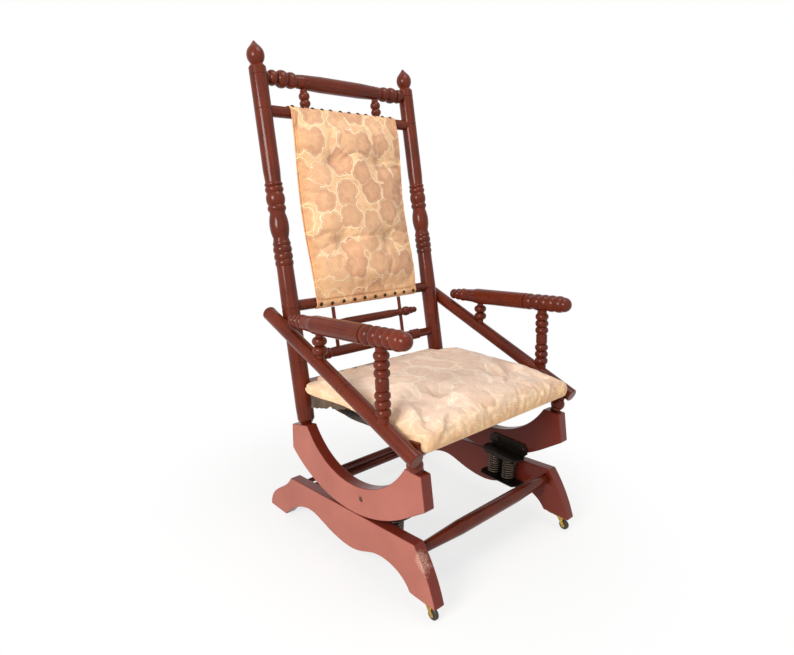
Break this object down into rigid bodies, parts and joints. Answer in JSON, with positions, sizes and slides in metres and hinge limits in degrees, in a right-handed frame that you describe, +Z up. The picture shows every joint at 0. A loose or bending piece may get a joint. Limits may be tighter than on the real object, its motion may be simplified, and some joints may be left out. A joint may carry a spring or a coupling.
{
  "type": "platform rocking chair",
  "caption": "Turned-wood platform rocking chair: an upholstered chair on curved rockers that roll on a fixed base with coil springs and front casters.",
  "frame": {"origin": "centre of the chair's overall box, on the floor that the rear feet and the front casters stand on", "axes": "+Z up, -Y to the chair's front, +X to the right of someone facing its front"},
  "size_m": [0.5732, 0.6661, 1.1007],
  "materials": {
    "turned_wood": "glossy red-brown varnish",
    "board_wood": "worn red-brown paint and varnish",
    "frame_wood": "bare wood",
    "upholstery": "woven cloth",
    "backing_cloth": "coarse cloth",
    "under_cloth": "old dark cloth",
    "nails": "darkened",
    "spring_steel": "black",
    "fixings": "dull",
    "caster_brass": "dull brass",
    "caster_tread": "dark moulded"
  },
  "bodies": {
    "base": {"base_board_left": "board_wood", "base_board_right": "board_wood", "base_screws": "fixings", "caster_plate_left": "caster_brass", "caster_plate_right": "caster_brass", "front_stretcher": "turned_wood", "rear_stretcher_lower": "turned_wood", "rear_stretcher_upper": "turned_wood", "spring_bracket_lower_left": "spring_steel", "spring_bracket_lower_right": "spring_steel"},
    "spring_coils": {"spring_left_front": "spring_steel", "spring_left_rear": "spring_steel", "spring_right_front": "spring_steel", "spring_right_rear": "spring_steel"},
    "caster_fork_left": {"caster_horn_left": "caster_brass", "caster_axle_left": "caster_brass"},
    "caster_wheel_left": {"caster_wheel_left": "caster_tread"},
    "caster_fork_right": {"caster_horn_right": "caster_brass", "caster_axle_right": "caster_brass"},
    "caster_wheel_right": {"caster_wheel_right": "caster_tread"},
    "rocker": {"arm_left": "turned_wood", "arm_post_left": "turned_wood", "arm_post_right": "turned_wood", "arm_right": "turned_wood", "back_nails_lower": "nails", "back_nails_upper": "nails", "back_pad": "upholstery", "back_post_left": "turned_wood", "back_post_right": "turned_wood", "back_sling": "backing_cloth", "bottom_back_rail": "turned_wood", "crest_rail": "turned_wood", "crest_spindle_left": "turned_wood", "crest_spindle_right": "turned_wood", "drop_bar": "turned_wood", "lower_panel_rail": "turned_wood", "neck_left": "turned_wood", "neck_right": "turned_wood", "rocker_board_left": "board_wood", "rocker_board_right": "board_wood", "rocker_bolts": "fixings", "rocker_nuts": "fixings", "rocker_screws": "fixings", "seat_front_rail": "frame_wood", "seat_pad": "upholstery", "seat_rear_rail": "frame_wood", "seat_side_rail_left": "frame_wood", "seat_side_rail_right": "frame_wood", "seat_under_cloth": "under_cloth", "short_post_left": "turned_wood", "short_post_right": "turned_wood", "side_rail_left": "turned_wood", "side_rail_right": "turned_wood", "spring_bracket_upper_left": "spring_steel", "spring_bracket_upper_right": "spring_steel", "thin_rod_left": "turned_wood", "thin_rod_right": "turned_wood", "upper_panel_rail": "turned_wood"}
  },
  "joints": [
    {"name": "roll", "type": "slide", "parent": "base", "child": "spring_coils", "axis": [0, 0.9962, -0.0872], "range_m": [-0.056, 0.067], "deforming": ["spring_left_front", "spring_left_rear", "spring_right_front", "spring_right_rear"]},
    {"name": "rock", "type": "hinge", "parent": "spring_coils", "child": "rocker", "pos_m": [0, -0.05495, 0.4419], "axis": [-1, 0, 0], "range_deg": [-10, 12], "stiffness_Nm_per_rad": 150, "springref_deg": -2.86},
    {"name": "caster_swivel_left", "type": "hinge", "parent": "base", "child": "caster_fork_left", "pos_m": [-0.236, -0.3039, 0.04], "axis": [0, 0, 1], "continuous": true},
    {"name": "caster_roll_left", "type": "hinge", "parent": "caster_fork_left", "child": "caster_wheel_left", "pos_m": [-0.236, -0.3179, 0.012], "axis": [1, 0, 0], "continuous": true},
    {"name": "caster_swivel_right", "type": "hinge", "parent": "base", "child": "caster_fork_right", "pos_m": [0.236, -0.3039, 0.04], "axis": [0, 0, 1], "continuous": true},
    {"name": "caster_roll_right", "type": "hinge", "parent": "caster_fork_right", "child": "caster_wheel_right", "pos_m": [0.236, -0.3179, 0.012], "axis": [1, 0, 0], "continuous": true}
  ],
  "couplings": [
    {"joint": "roll", "follows": "rock", "m_per_rad": 0.315}
  ]
}
